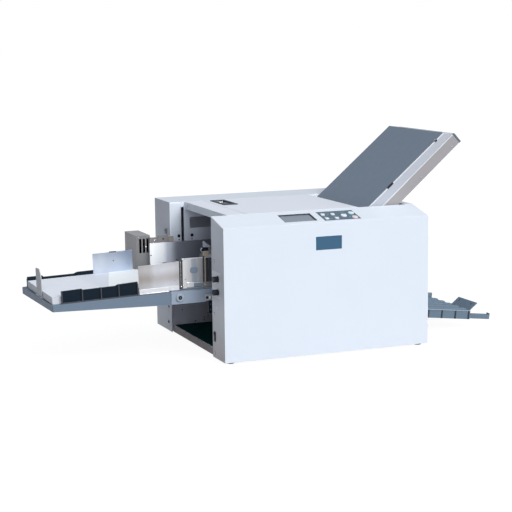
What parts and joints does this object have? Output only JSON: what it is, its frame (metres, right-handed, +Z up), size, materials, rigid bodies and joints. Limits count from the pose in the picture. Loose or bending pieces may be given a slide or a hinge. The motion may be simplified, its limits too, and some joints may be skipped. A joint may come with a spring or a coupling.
{
  "type": "paper folding machine",
  "caption": "Desk paper folding machine with a suction feed table, side guides, a slanting fold plate above, fold rollers and a fold-up delivery tray.",
  "frame": {"origin": "middle of the whole object’s footprint box, on the surface the feet stand on", "axes": "+X from the feed table towards the delivery tray, +Y from the control side towards the back, +Z up"},
  "size_m": [1.4367, 0.623, 0.6272],
  "materials": {
    "cover_paint": "fine textured powder coat, satin white with a cool cast",
    "end_paint": "fine textured powder coat, satin light grey",
    "frame_steel": "satin grey paint",
    "base_steel": "dark satin paint",
    "foot_rubber": "matt",
    "table_paint": "satin blue-grey paint",
    "black_plastic": "moulded, fine grain",
    "grey_plastic": "moulded, fine grain",
    "guide_steel": "polished, faint brushing along the length",
    "paper": "matt sheets, fine edge lines",
    "display_grey": "satin window over a grey display",
    "keypad_film": "satin slate-blue film",
    "key_white": "semi-gloss",
    "key_cyan": "semi-gloss",
    "key_pink": "semi-gloss",
    "knob_black": "moulded, fluted grip",
    "blower_paint": "satin warm grey",
    "drum_alloy": "anodised",
    "roller_rubber": "ground, matt",
    "gear_plastic": "moulded natural",
    "pulley_alloy": "turned",
    "belt_rubber": "matt",
    "motor_paint": "satin black",
    "fan_plastic": "moulded",
    "panel_grey": "fine grain, slate grey",
    "side_grey": "satin grey",
    "cap_slate": "moulded",
    "tray_plastic": "moulded blue-grey, fine grain"
  },
  "bodies": {
    "chassis": {"base_pan": "base_steel", "front_side_frame": "frame_steel", "rear_side_frame": "frame_steel", "foot_front_left": "foot_rubber", "foot_front_right": "foot_rubber", "foot_rear_left": "foot_rubber", "foot_rear_right": "foot_rubber", "front_cover": "cover_paint", "rear_cover": "cover_paint", "top_left_cover": "end_paint", "delivery_end_cover": "end_paint", "display_window": "display_grey", "keypad_panel": "keypad_film", "power_inlet": "black_plastic", "guide_cross_rail": "guide_steel", "drive_belt": "belt_rubber", "main_motor": "motor_paint", "vacuum_blower": "fan_plastic", "fold_plate_1_frame": "side_grey", "fold_plate_1_end_cap": "cap_slate", "fold_plate_1_cover": "panel_grey", "fold_plate_2": "frame_steel"},
    "top_lid": {"top_cover": "end_paint"},
    "lid_latch": {"top_cover_latch": "black_plastic"},
    "air_knob_upper": {"air_knob_upper": "knob_black"},
    "air_knob_lower": {"air_knob_lower": "knob_black"},
    "power_rocker": {"power_rocker": "black_plastic"},
    "feed_table": {"feed_table": "table_paint"},
    "table_extension": {"feed_table_extension": "table_paint", "paper_stack": "paper"},
    "front_outer_guide": {"side_plate_front": "black_plastic", "front_guide_outer": "guide_steel"},
    "rear_outer_guide": {"side_plate_rear": "black_plastic", "rear_guide_outer": "guide_steel"},
    "end_guide": {"end_guide": "grey_plastic"},
    "front_inner_guide": {"front_side_guide": "guide_steel"},
    "rear_inner_guide": {"rear_side_guide": "guide_steel", "side_blower": "blower_paint"},
    "suction_drum": {"suction_drum": "drum_alloy"},
    "roller_1": {"fold_roller_1": "roller_rubber", "roller_gear_1": "gear_plastic"},
    "roller_2": {"fold_roller_2": "roller_rubber", "roller_gear_2": "gear_plastic", "roller_pulley": "pulley_alloy"},
    "roller_3": {"fold_roller_3": "roller_rubber", "roller_gear_3": "gear_plastic"},
    "roller_4": {"fold_roller_4": "roller_rubber", "roller_gear_4": "gear_plastic"},
    "motor_shaft": {"motor_pulley": "pulley_alloy"},
    "fold_stop": {"fold_stop": "drum_alloy"},
    "delivery_tray": {"delivery_tray": "tray_plastic"},
    "delivery_extension": {"delivery_extension": "tray_plastic"},
    "stop_flap": {"delivery_stop_flap": "tray_plastic"},
    "key_minus": {"key_minus": "key_white"},
    "key_plus": {"key_plus": "key_white"},
    "key_menu": {"key_menu": "key_white"},
    "key_mode": {"key_mode": "key_white"},
    "key_set": {"key_set": "key_white"},
    "key_start": {"key_start": "key_cyan"},
    "key_stop": {"key_stop": "key_pink"}
  },
  "joints": [
    {"name": "top_cover_open", "type": "hinge", "parent": "chassis", "child": "top_lid", "pos_m": [0.2231, -0.0245, 0.4152], "axis": [0, 1, 0], "range_deg": [0, 78]},
    {"name": "latch_lift", "type": "hinge", "parent": "top_lid", "child": "lid_latch", "pos_m": [-0.0939, 0.1345, 0.4117], "axis": [-1, 0, 0], "range_deg": [0, 25]},
    {"name": "key_minus_press", "type": "slide", "parent": "chassis", "child": "key_minus", "axis": [0, 0.233, -0.9725], "range_m": [0, 0.001], "stiffness_N_per_m": 400, "springref_m": -0.001},
    {"name": "key_plus_press", "type": "slide", "parent": "chassis", "child": "key_plus", "axis": [0, 0.233, -0.9725], "range_m": [0, 0.001], "stiffness_N_per_m": 400, "springref_m": -0.001},
    {"name": "key_menu_press", "type": "slide", "parent": "chassis", "child": "key_menu", "axis": [0, 0.233, -0.9725], "range_m": [0, 0.001], "stiffness_N_per_m": 400, "springref_m": -0.001},
    {"name": "key_mode_press", "type": "slide", "parent": "chassis", "child": "key_mode", "axis": [0, 0.233, -0.9725], "range_m": [0, 0.001], "stiffness_N_per_m": 400, "springref_m": -0.001},
    {"name": "key_set_press", "type": "slide", "parent": "chassis", "child": "key_set", "axis": [0, 0.233, -0.9725], "range_m": [0, 0.001], "stiffness_N_per_m": 400, "springref_m": -0.001},
    {"name": "key_start_press", "type": "slide", "parent": "chassis", "child": "key_start", "axis": [0, 0.233, -0.9725], "range_m": [0, 0.001], "stiffness_N_per_m": 400, "springref_m": -0.001},
    {"name": "key_stop_press", "type": "slide", "parent": "chassis", "child": "key_stop", "axis": [0, 0.233, -0.9725], "range_m": [0, 0.001], "stiffness_N_per_m": 400, "springref_m": -0.001},
    {"name": "air_knob_upper_turn", "type": "hinge", "parent": "chassis", "child": "air_knob_upper", "pos_m": [-0.2449, -0.2635, 0.242], "axis": [-1, 0, 0], "range_deg": [-135, 135]},
    {"name": "air_knob_lower_turn", "type": "hinge", "parent": "chassis", "child": "air_knob_lower", "pos_m": [-0.2449, -0.2635, 0.204], "axis": [-1, 0, 0], "range_deg": [-135, 135]},
    {"name": "power_rocker_tilt", "type": "hinge", "parent": "chassis", "child": "power_rocker", "pos_m": [-0.2409, -0.2295, 0.069], "axis": [0, 1, 0], "range_deg": [0, 12]},
    {"name": "feed_table_lift", "type": "slide", "parent": "chassis", "child": "feed_table", "axis": [0, 0, 1], "range_m": [-0.045, 0]},
    {"name": "table_extension_fold", "type": "hinge", "parent": "feed_table", "child": "table_extension", "pos_m": [-0.3329, -0.0125, 0.1818], "axis": [0, 1, 0], "range_deg": [0, 85]},
    {"name": "front_outer_guide_slide", "type": "slide", "parent": "table_extension", "child": "front_outer_guide", "axis": [0, -1, 0], "range_m": [0, 0.006]},
    {"name": "rear_outer_guide_slide", "type": "slide", "parent": "table_extension", "child": "rear_outer_guide", "axis": [0, 1, 0], "range_m": [0, 0.006]},
    {"name": "end_guide_slide", "type": "slide", "parent": "table_extension", "child": "end_guide", "axis": [-0.9995, 0, -0.0307], "range_m": [0, 0.003]},
    {"name": "front_inner_guide_slide", "type": "slide", "parent": "chassis", "child": "front_inner_guide", "axis": [0, 1, 0], "range_m": [-0.006, 0]},
    {"name": "rear_inner_guide_slide", "type": "slide", "parent": "chassis", "child": "rear_inner_guide", "axis": [0, -1, 0], "range_m": [-0.006, 0]},
    {"name": "suction_drum_turn", "type": "hinge", "parent": "chassis", "child": "suction_drum", "pos_m": [-0.1499, -0.0245, 0.244], "axis": [0, 1, 0], "continuous": true},
    {"name": "roller_2_turn", "type": "hinge", "parent": "chassis", "child": "roller_2", "pos_m": [0.1271, -0.0245, 0.216], "axis": [0, 1, 0], "continuous": true},
    {"name": "roller_1_turn", "type": "hinge", "parent": "chassis", "child": "roller_1", "pos_m": [0.10732, -0.0245, 0.25168], "axis": [0, 1, 0], "continuous": true},
    {"name": "roller_3_turn", "type": "hinge", "parent": "chassis", "child": "roller_3", "pos_m": [0.16612, -0.0245, 0.20407], "axis": [0, 1, 0], "continuous": true},
    {"name": "roller_4_turn", "type": "hinge", "parent": "chassis", "child": "roller_4", "pos_m": [0.15419, -0.0245, 0.16505], "axis": [0, 1, 0], "continuous": true},
    {"name": "motor_shaft_turn", "type": "hinge", "parent": "chassis", "child": "motor_shaft", "pos_m": [0.0551, 0.1935, 0.116], "axis": [0, 1, 0], "continuous": true},
    {"name": "fold_stop_slide", "type": "slide", "parent": "chassis", "child": "fold_stop", "axis": [0.757, 0, 0.6534], "range_m": [-0.12, 0.215]},
    {"name": "delivery_tray_fold", "type": "hinge", "parent": "chassis", "child": "delivery_tray", "pos_m": [0.4111, -0.0185, 0.078], "axis": [0, -1, 0], "range_deg": [0, 72]},
    {"name": "delivery_extension_slide", "type": "slide", "parent": "delivery_tray", "child": "delivery_extension", "axis": [0.993, 0, -0.1184], "range_m": [-0.05, 0.06]},
    {"name": "stop_flap_fold", "type": "hinge", "parent": "delivery_tray", "child": "stop_flap", "pos_m": [0.64941, -0.0815, 0.04958], "axis": [0, -1, 0], "range_deg": [0, 50]}
  ],
  "couplings": [
    {"joint": "roller_1_turn", "follows": "roller_2_turn", "ratio": -1},
    {"joint": "roller_3_turn", "follows": "roller_2_turn", "ratio": -1},
    {"joint": "roller_4_turn", "follows": "roller_2_turn", "ratio": 1},
    {"joint": "motor_shaft_turn", "follows": "roller_2_turn", "ratio": 1.645},
    {"joint": "rear_inner_guide_slide", "follows": "front_inner_guide_slide", "ratio": 1},
    {"joint": "rear_outer_guide_slide", "follows": "front_outer_guide_slide", "ratio": 1}
  ]
}
